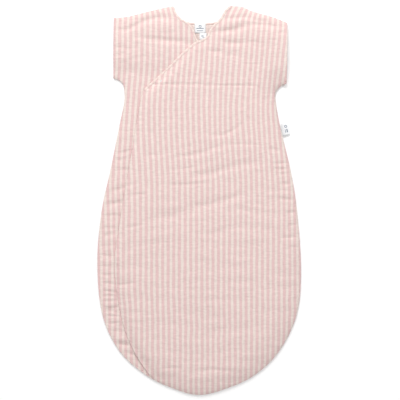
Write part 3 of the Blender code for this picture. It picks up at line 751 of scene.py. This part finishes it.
def bumped(tree, shader, height, strength, distance):
    """Gives a shader a fine relief."""
    bump = add(tree, "ShaderNodeBump", Strength=strength, Distance=distance)
    tree.links.new(height, bump.inputs["Height"])
    tree.links.new(bump.outputs[0], shader.inputs["Normal"])


def scaled_uv(tree, u, v):
    """The cloth coordinates, scaled both ways."""
    coords = add(tree, "ShaderNodeUVMap", uv_map="cloth")
    mapping = add(tree, "ShaderNodeMapping")
    mapping.inputs["Scale"].default_value = (u, v, 1)
    tree.links.new(coords.outputs[0], mapping.inputs[0])
    return mapping.outputs[0]


def cloth_noise(tree, u, v, scale, detail=2.0, rough=0.5):
    """Noise on the cloth's own coordinates."""
    made = add(tree, "ShaderNodeTexNoise", Scale=scale, Detail=detail, Roughness=rough)
    tree.links.new(scaled_uv(tree, u, v), made.inputs["Vector"])
    return made.outputs[0]


def thread_weave(tree, threads):
    """Height of a plain weave, with this many threads to a stripe repeat each way."""
    coords = add(tree, "ShaderNodeUVMap", uv_map="cloth")
    parts = add(tree, "ShaderNodeSeparateXYZ")
    tree.links.new(coords.outputs[0], parts.inputs[0])
    turn = 2 * math.pi * threads
    warp = maths(tree, "SINE", maths(tree, "MULTIPLY", parts.outputs[0], turn))
    weft = maths(tree, "SINE", maths(tree, "MULTIPLY", parts.outputs[1], turn))
    return maths(tree, "MULTIPLY", warp, weft), parts


def gauze(name, pink, cream):
    """Crinkled double gauze: stripes along the cloth, slubby threads, soft dents with painted shade in their
    hollows and a dry, downy surface.
    """
    made, tree, shader = new_material(name)
    weave, parts = thread_weave(tree, 14)
    wander = cloth_noise(tree, 0.5, 0.25, 1.3)
    astray = maths(tree, "MULTIPLY", maths(tree, "SUBTRACT", wander, 0.5), 0.22)
    across = maths(tree, "ADD", parts.outputs[0], astray)
    wave = maths(tree, "SINE", maths(tree, "MULTIPLY", across, 2 * math.pi))
    clamp = tree.nodes.new("ShaderNodeClamp")
    tree.links.new(stretched(tree, wave, 1.25, 0.5), clamp.inputs[0])
    share = clamp.outputs[0]
    base = mixed(tree, share, cream, pink)
    slub = cloth_noise(tree, 9.0, 0.9, 1.0, 3.0)
    dents = cloth_noise(tree, 0.7, 2.6, 1.3, 4.0, 0.6)
    # Tone: the slub's flecks are the threads' own, and the dents darken the colour where their relief is low,
    # which is painted shade in the hollows of the crinkle.
    tone = stretched(tree, slub, 0.16, maths(tree, "MULTIPLY", dents, 0.34))
    border = maths(tree, "MULTIPLY", share, maths(tree, "SUBTRACT", 1.0, share))
    tone = maths(tree, "SUBTRACT", tone, maths(tree, "MULTIPLY", border, 0.22))
    tone = maths(tree, "ADD", tone, 0.765)
    tree.links.new(scaled(tree, base, tone), shader.inputs["Base Color"])
    set_inputs(shader, {"Roughness": 0.95, "Sheen Weight": 0.12, "Sheen Roughness": 0.6,
                        "Specular IOR Level": 0.2})
    bumped(tree, shader, stretched(tree, weave, 0.06, dents), 0.55, 0.0011)
    return made


def plain_textile(name, color, threads, speckle, strength):
    """A plain woven ribbon, tape or thread, with uneven flecks of tone."""
    made, tree, shader = new_material(name)
    weave, _ = thread_weave(tree, threads)
    fleck = cloth_noise(tree, 3.0, 3.0, 2.0, 3.0)
    tone = stretched(tree, fleck, speckle * 2, 1 - speckle)
    tree.links.new(scaled(tree, color, tone), shader.inputs["Base Color"])
    shader.inputs["Roughness"].default_value = 0.85
    height = stretched(tree, weave, 0.3, maths(tree, "MULTIPLY", fleck, 0.6))
    bumped(tree, shader, height, strength, 0.0004)
    return made


def hard_material(name, color, roughness, metallic):
    """Moulded plastic or plated metal, with faint marks and uneven gloss."""
    made, tree, shader = new_material(name)
    coords = tree.nodes.new("ShaderNodeTexCoord")
    marks = add(tree, "ShaderNodeTexNoise", Scale=900, Detail=4.0)
    tree.links.new(coords.outputs["Object"], marks.inputs["Vector"])
    tone = stretched(tree, marks.outputs[0], 0.24, 0.88)
    tree.links.new(scaled(tree, color, tone), shader.inputs["Base Color"])
    gloss = stretched(tree, marks.outputs[0], 0.2, roughness - 0.1)
    tree.links.new(gloss, shader.inputs["Roughness"])
    shader.inputs["Metallic"].default_value = metallic
    bumped(tree, shader, marks.outputs[0], 0.1, 0.0001)
    return made


PINK = (0.712, 0.500, 0.490, 1)
CREAM = (0.762, 0.658, 0.605, 1)
MUSLIN = gauze("muslin", PINK, CREAM)
BINDING = gauze("muslin_binding", (0.770, 0.605, 0.565, 1), (0.800, 0.680, 0.625, 1))
LINING = gauze("muslin_lining", (0.83, 0.74, 0.70, 1), (0.85, 0.775, 0.735, 1))
# The back neck facing wears a darker copy of the lining's gauze: painted shade, for the shadow that the
# fronts cast into the neck.
SHADED_LINING = gauze("muslin_facing_painted_shade", (0.735, 0.60, 0.56, 1), (0.77, 0.65, 0.605, 1))
LABEL = plain_textile("label_ribbon", (0.84, 0.85, 0.86), 16, 0.04, 0.3)
MARK = plain_textile("label_thread", (0.18, 0.22, 0.29), 20, 0.15, 0.6)
THREAD = plain_textile("sewing_thread", (0.80, 0.66, 0.61), 30, 0.08, 0.5)
TAPE = plain_textile("zip_tape_weave", (0.76, 0.66, 0.60), 10, 0.05, 0.7)
COIL = hard_material("zip_coil", (0.78, 0.68, 0.62), 0.45, 0.0)
METAL = hard_material("nickel_plate", (0.62, 0.62, 0.61), 0.3, 1.0)


# Pieces

def shifted(top, shift):
    """A height field moved up by a shift."""
    return lambda points: top(points) + shift


def band(name, path, near, far, base, thickness, cloth, columns=6):
    """A strip from near to far across a path. base(points, shares) is its underside, share 0 near, 1 far."""
    points, ways, _ = evenly(path, FINE_CELL)
    sides = leftward(ways)
    shares = np.linspace(0, 1, columns)
    across = near + (far - near) * shares
    spots = (points[:, None, :] + across[None, :, None] * sides[:, None, :]).reshape(-1, 2)
    low = base(spots, np.tile(shares, len(points)))
    lower = np.column_stack([spots, np.maximum(low, LOWEST)])
    upper = lower + np.array([0, 0, thickness])
    rows, shift = len(points), len(spots)
    faces = []
    for k in range(rows - 1):
        for j in range(columns - 1):
            a, b = k * columns + j, (k + 1) * columns + j
            faces += [(a, b, b + 1, a + 1), (a + shift, a + 1 + shift, b + 1 + shift, b + shift)]
        for j in (0, columns - 1):
            a, b = k * columns + j, (k + 1) * columns + j
            faces.append((a, a + shift, b + shift, b))
    for k in (0, rows - 1):
        for j in range(columns - 1):
            a = k * columns + j
            faces.append((a, a + 1, a + 1 + shift, a + shift))
    uv = cloth(spots) / STRIPE_REPEAT
    return closed_piece(name, np.vstack([lower, upper]), faces, np.vstack([uv, uv]))


def roll(name, path, width, height, top, cloth, lift):
    """The soft turned edge of a seam or hem, along the inside of a path."""
    made = sweep(name, path, oval(width, height), shifted(top, lift), EDGE_STEP, 0.25)
    set_cloth(made, cloth)
    return made


def set_cloth(made, cloth):
    """Gives every corner the cloth coordinates of its own place."""
    places = np.array([v.co[:2] for v in made.data.vertices])
    fill_uvs(made.data, cloth(places) / STRIPE_REPEAT)


def coil(name, path, across, up, pitch, wire, top):
    """A zip's coil: one wire wound along a path, in an oval."""
    around = 10
    length = along(path)[-1]
    marks = np.linspace(0, length, int(length / pitch) * around + 1)
    points = at_length(path, marks)
    angle = 2 * math.pi * np.arange(len(marks)) / around
    place = points + leftward(directions(points)) * (np.cos(angle) * across / 2)[:, None]
    height = top + np.sin(angle) * up / 2
    curve = bpy.data.curves.new(name, "CURVE")
    curve.dimensions = "3D"
    curve.bevel_depth = wire
    curve.bevel_resolution = 1
    curve.use_fill_caps = True
    spline = curve.splines.new("POLY")
    spline.points.add(len(marks) - 1)
    spline.points.foreach_set("co", np.column_stack([place, height, np.ones(len(marks))]).ravel())
    wound = linked(name, curve)
    bpy.context.view_layer.update()
    mesh = bpy.data.meshes.new_from_object(wound)
    bpy.data.objects.remove(wound)
    mesh.shade_smooth()
    return linked(name, mesh)


def dressed(piece, material, slot_name, body, *nodes):
    """A finished piece: its material, its slot name (not used), its body and the CAD nodes that it stands
    for.
    """
    piece.data.materials.clear()
    piece.data.materials.append(material)
    if body == "fold":
        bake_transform(piece)
    else:
        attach(piece, body)
    if nodes:
        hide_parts(*nodes)
    return piece


# Sleeve hem turnings: where each starts in from the sleeve's edge, how far in it reaches and how thick it is
HEM_START = 0.0006
HEM_WIDTH = 0.012
HEM_LAYER = 0.0008

back = dressed(cloth_sheet("back_cloth", BACK_OUTLINE, back_top, plain_cloth, BACK_THICK, COARSE_CELL),
               MUSLIN, "muslin", "bag", "back_panel")
left_front = dressed(cloth_sheet("left_front_cloth", UNDER_OUTLINE, under_top, under_cloth),
                     MUSLIN, "muslin", "bag", "left_front_panel")
wrap = dressed(cloth_sheet("wrap_front_cloth", WRAP_OUTLINE, wrap_top, wrap_cloth),
               MUSLIN, "muslin", "fold", "wrap_front_panel", "wrap_front_flap")

# Sleeve hems, turned in under each sleeve end
for side, armhole, front_top, cloth in (("left", LEFT_ARMHOLE, under_top, under_cloth),
                                        ("right", RIGHT_ARMHOLE, wrap_top, wrap_cloth)):
    way = trimmed(armhole, 0.003, 0.003)
    turned_in = band(f"{side}_front_sleeve_hem_turning", way, HEM_START, HEM_WIDTH,
                     lambda points, shares: front_top(points) - CLOTH_THICK - HEM_LAYER - PLY_GAP,
                     HEM_LAYER, cloth)
    dressed(turned_in, MUSLIN, "muslin", "bag", f"{side}_front_sleeve_hem")
    turned_back = band(f"{side}_back_sleeve_hem_turning", way, HEM_START, HEM_WIDTH,
                       lambda points, shares: back_top(points) + PLY_GAP, HEM_LAYER * 0.75, plain_cloth)
    dressed(turned_back, MUSLIN, "muslin", "bag", f"{side}_back_sleeve_hem")
    hem_edge = roll(f"{side}_front_sleeve_edge", way, 0.0022, 0.0020, front_top, cloth, -0.0018)
    dressed(hem_edge, MUSLIN, "muslin", "bag")
    stitches = beads(f"{side}_sleeve_stitches", beside(way, HEM_WIDTH - 0.0008), front_top, 0.0030, 0.0021)
    dressed(stitches, THREAD, "muslin", "bag")

# Sewn edges, where front and back are turned in together
LEFT_SIDE, RIGHT_SIDE = parted(SIDES, BOTTOM)
for name, way, cloth in (("left_shoulder_seam", LEFT_SHOULDER, under_cloth),
                         ("right_shoulder_seam", RIGHT_SHOULDER, wrap_cloth),
                         ("left_side_seam", LEFT_SIDE, under_cloth),
                         ("right_side_seam", RIGHT_SIDE, wrap_cloth)):
    made = roll(name + "_turning", trimmed(way, 0.0008, 0.0008), 0.0030, 0.0026,
                lambda points: np.full(len(points), SEAM_LEVEL), cloth, -0.0014)
    dressed(made, MUSLIN, "muslin", "bag", name)


def edge_binding(name, path, width, height, top, body, *nodes):
    """A folded bias strip wrapped round an edge, with its row of stitches."""
    overhang = 0.0008
    section = [(x - overhang, z) for x, z in oval(width, height, 14, 0.9)]
    made = sweep(name, path, section, shifted(top, CLOTH_THICK * 0.2 - height + 0.0005), 0.002, 0.10, 4.5)
    sewn = beads(name + "_stitches", trimmed(beside(path, width - 0.0017), 0.003, 0.003),
                 shifted(top, CLOTH_THICK * 0.2 + 0.0003), 0.0028, 0.0019)
    dressed(sewn, THREAD, "binding", body)
    return dressed(made, BINDING, "binding", body, *nodes), sewn


diagonal_strip = edge_binding("diagonal_binding", trimmed(WRAP_NECKLINE, 0.001, 0.0005), 0.0046, 0.0026,
                              wrap_top, "fold", "wrap_neck_binding", "wrap_edge_binding")
left_neck_strip = edge_binding("left_neck_binding_strip", LEFT_NECKLINE, 0.0038, 0.0024,
                               under_top, "bag", "left_neck_binding")
edge_binding("back_neck_binding_strip", trimmed(BACK_NECK, 0.002, 0.002), 0.0038, 0.0022,
             back_top, "bag", "back_neck_binding")
flap_fold = roll("flap_edge_fold", trimmed(FLAP_EDGE, 0.002, 0.003), 0.0030, 0.0021,
                 wrap_top, wrap_cloth, -0.0016)
dressed(flap_fold, MUSLIN, "muslin", "fold", "flap_edge_hem")

# Facings
FACING_BOTTOM = 0.2065
facing_edge = beside(trimmed(WRAP_NECKLINE, 0.004, 0.0), 0.0042)
facing_edge = facing_edge[facing_edge[:, 1] > FACING_BOTTOM]
facing_corners = [tuple(facing_edge[-1]), (0.1530, FACING_BOTTOM), (0.1540, 0.3130), (0.1260, 0.3235),
                  (0.0880, 0.3355), tuple(facing_edge[0])]
facing_sides = [straight(a, b, 0.004) for a, b in zip(facing_corners, facing_corners[1:])]
facing = cloth_sheet("chest_facing", joined(facing_edge, *facing_sides), shifted(wrap_top, -FACING_DROP),
                     plain_cloth, FACING_THICK, 0.004)
dressed(facing, LINING, "lining", "fold", "facing_fixed_part", "facing_flap_part")
neck_facing = band("back_neck_facing_cloth", trimmed(BACK_NECK, 0.010, 0.010), 0.0035, 0.040,
                   lambda points, shares: back_top(points) + 0.0004 + 0.0002 * np.exp(-shares * 9),
                   FACING_THICK, plain_cloth, 14)
dressed(neck_facing, SHADED_LINING, "lining", "bag", "back_neck_facing")

# Zip, under the flap: tapes sewn to the left front and to the flap, with a coil along each inner edge
ZIP_INSET = 0.015
COIL_LEVEL = 0.0081
# Distances from the middle of the zip: the coil's middle, the tape's edges and the tape's stitches
COIL_MIDDLE = 0.0016
TAPE_INNER = 0.0022
TAPE_OUTER = 0.0125
TAPE_STITCHES = 0.0104
ZIP_PATH = trimmed(beside(UNBOWED_EDGE, ZIP_INSET), 0.008, 0.062)


def tape_rise(sewn_to):
    """The underside of a tape, from its coil to where it is sewn on."""
    def base(points, shares):
        climbed = step_up(shares, 0.15, 0.8)
        return (1 - climbed) * (COIL_LEVEL - 0.0002) + climbed * sewn_to(points)
    return base


for side, way, body, sewn_to in (("left", -1, "bag", shifted(under_top, 0.0003)),
                                 ("right", 1, "fold", shifted(wrap_top, -FACING_DROP))):
    tape = band(f"{side}_zip_tape_weave", ZIP_PATH, way * TAPE_INNER, way * TAPE_OUTER, tape_rise(sewn_to),
                0.0005, plain_cloth, 9)
    dressed(tape, TAPE, "zip_tape", body, f"{side}_zip_tape")
    row = coil(f"{side}_zip_coil", trimmed(beside(ZIP_PATH, way * COIL_MIDDLE), 0.0035, 0.0035),
               0.0013, 0.0010, 0.0012, 0.00022, COIL_LEVEL)
    dressed(row, COIL, "zip_chain", "bag" if way < 0 else "wrap_flap", f"{side}_zip_chain")
    stitches = beads(f"{side}_zip_stitches", beside(ZIP_PATH, way * TAPE_STITCHES), shifted(sewn_to, 0.0006),
                     0.0032, 0.0024)
    dressed(stitches, THREAD, "zip_tape", body)

# Hard pieces keep their CAD shapes, with softened corners and a finish
for node, finish in (("zip_slider", METAL), ("zip_puller", METAL), ("left_zip_top_stop", COIL),
                     ("right_zip_top_stop", COIL), ("zip_bottom_stop", COIL), ("press_stud", METAL),
                     ("press_stud_socket", METAL), ("press_stud_ring", METAL)):
    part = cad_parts[node]
    part.data.materials.clear()
    part.data.materials.append(finish)
    soften = part.modifiers.new("soften", "BEVEL")
    soften.width = 0.00018
    soften.segments = 2
    soften.limit_method = "ANGLE"
    soften.angle_limit = math.radians(35)


# Labels

def ribbon_label(name, profile, place, out, width, body, node, tilt):
    """A woven ribbon: a profile of (out, up) points from its sewn edge, swept across its width.

    Its far edge hangs down by tilt times its length."""
    out = np.array([out[0], out[1], 0.0])
    across = np.array([-out[1], out[0], 0.0])
    reach = max(a for a, _ in profile)
    verts = []
    rows = 9
    for share in np.linspace(-0.5, 0.5, rows):
        for a, up in profile:
            droop = 0.00012 * math.cos(2 * math.pi * share) * a / reach - tilt * a
            spot = np.array(place) + out * a + across * share * width
            verts.append(tuple(spot + np.array([0, 0, up + droop])))
    made = closed_piece(name, verts, tube_faces(rows, len(profile)))
    dressed(made, LABEL, "label", body, node)


def folded_profile(length, height, layer):
    """A ribbon folded back on itself: two layers joined by a round turn at the far end."""
    radius = height / 2
    middle = length - radius

    def turn(r, angles):
        return [(middle + r * math.cos(t), radius + r * math.sin(t)) for t in angles]

    angles = np.linspace(-math.pi / 2, math.pi / 2, 9)
    outer, inner = turn(radius, angles), turn(radius - layer, angles[::-1])
    return [(0, 0), *outer, (0, height), (0, height - layer), *inner, (0, layer)]


def flat_profile(length, thickness):
    """A single ribbon, lying flat."""
    marks = [length * t for t in np.linspace(0, 1, 7)]
    return [*[(a, 0.0) for a in marks], *[(a, thickness) for a in marks[::-1]]]


MARK_THICK = 0.00012


def woven_mark(name, bars, rings, place, out, level, body, tilt):
    """A plain mark of bars (x, y, width, height) and rings (x, y, radius, line), raised off a ribbon.

    Their places run across the ribbon and out from its sewn edge."""
    across = np.array([-out[1], out[0]])
    verts, faces = [], []

    def prism(corners):
        base, n = len(verts), len(corners)
        for z in (level, level + MARK_THICK):
            for x, y in corners:
                spot = np.array(place[:2]) + across * x + np.array(out) * y
                verts.append((spot[0], spot[1], z - tilt * y))
        faces.append(tuple(range(base, base + n)))
        faces.append(tuple(range(base + n, base + 2 * n)))
        for k in range(n):
            a, b = base + k, base + (k + 1) % n
            faces.append((a, b, b + n, a + n))

    for x, y, width, height in bars:
        w, h = width / 2, height / 2
        prism([(x - w, y - h), (x + w, y - h), (x + w, y + h), (x - w, y + h)])
    for x, y, radius, line in rings:
        inner = radius - line
        turns = [2 * math.pi * k / 16 for k in range(17)]
        for a, b in zip(turns, turns[1:]):
            prism([(x + inner * math.cos(a), y + inner * math.sin(a)),
                   (x + radius * math.cos(a), y + radius * math.sin(a)),
                   (x + radius * math.cos(b), y + radius * math.sin(b)),
                   (x + inner * math.cos(b), y + inner * math.sin(b))])
    made = closed_piece(name, verts, faces)
    made.data.shade_flat()
    dressed(made, MARK, "label", body)


def label(node, body, place, out, profile, width, bars, rings, mark_level, tilt=0.0):
    """A label sewn on at a place and lying out from it, with a mark woven on its top."""
    ribbon_label(f"{node}_ribbon", profile, place, out, width, body, node, tilt)
    woven_mark(f"{node}_mark", bars, rings, place, out, mark_level, body, tilt)


DOWN = (0, -1)
INWARD = (-1, 0)
SIDE_LABEL_OUT = (math.cos(math.radians(10)), math.sin(math.radians(10)))
label("neck_label", "bag", (0.002, 0.3189, 0.0025), DOWN, flat_profile(0.0178, 0.0004), 0.020,
      [(0.0, 0.0090, 0.0130, 0.0012), (0.0, 0.0132, 0.0110, 0.0009)],
      [(0.0, 0.0052, 0.0024, 0.0009)], 0.0030)
label("size_tab", "size_tab", (0.0074, 0.3012, 0.0029), DOWN, folded_profile(0.0120, 0.0006, 0.00024), 0.0130,
      [(-0.0012, 0.0050, 0.0046, 0.0013), (0.0006, 0.0074, 0.0034, 0.0008)], [], 0.0036)
label("side_label", "side_label", (0.1490, 0.127, 0.0022), SIDE_LABEL_OUT,
      folded_profile(0.0135, 0.0008, 0.0003), 0.022,
      [(-0.0026, 0.0094, 0.0062, 0.0018), (-0.0026, 0.0062, 0.0062, 0.0009)],
      [(0.0052, 0.0080, 0.0025, 0.0010)], 0.0031, tilt=0.10)
label("care_label", "care_label", (0.1765, -0.125, 0.0022), INWARD, flat_profile(0.045, 0.0004), 0.030,
      [(0.0, 0.012, 0.022, 0.0008), (0.0, 0.016, 0.018, 0.0008), (0.0, 0.020, 0.020, 0.0008)],
      [(-0.006, 0.030, 0.0030, 0.0006), (0.006, 0.030, 0.0030, 0.0006)], 0.0027)


# Floor, light and camera

FLOOR_REACH = 3
FLOOR_LEVEL = -0.0006
floor_corners = [(FLOOR_REACH * x, FLOOR_REACH * y, FLOOR_LEVEL)
                 for x, y in ((-1, -1), (1, -1), (1, 1), (-1, 1))]
floor = mesh_object("floor", floor_corners, [(0, 1, 2, 3)])
floor_material, _, floor_shader = new_material("floor_paper")
set_inputs(floor_shader, {"Base Color": (0.95, 0.95, 0.95, 1), "Emission Color": (1, 1, 1, 1),
                          "Emission Strength": 0.03, "Roughness": 0.9})
floor.data.materials.append(floor_material)


def soft_light(name, place, aim, size, power):
    """A round soft light, turned to the place that it is aimed at."""
    light = bpy.data.lights.new(name, "AREA")
    light.shape = "DISK"
    light.size = size
    light.energy = power
    made = linked(name, light)
    made.location = place
    made.rotation_euler = (Vector(aim) - Vector(place)).to_track_quat("-Z", "Y").to_euler()


soft_light("key_light", (-0.35, 2.1, 1.7), (0, 0.15, 0), 1.4, 42)
soft_light("fill_light", (0.5, 0.7, 3.0), (0, 0.1, 0), 2.2, 12)

world = bpy.data.worlds.new("studio")
world.use_nodes = True
set_inputs(world.node_tree.nodes["Background"], {"Color": (1, 1, 1, 1), "Strength": 0.70})
bpy.context.scene.world = world
bpy.context.scene.view_settings.view_transform = "Standard"

camera = bpy.data.cameras.new("camera")
camera.lens = 85
camera.clip_start = 0.05
camera_object = linked("camera", camera)
camera_object.location = (0.0018, 0.001, 1.703)
bpy.context.scene.camera = camera_object
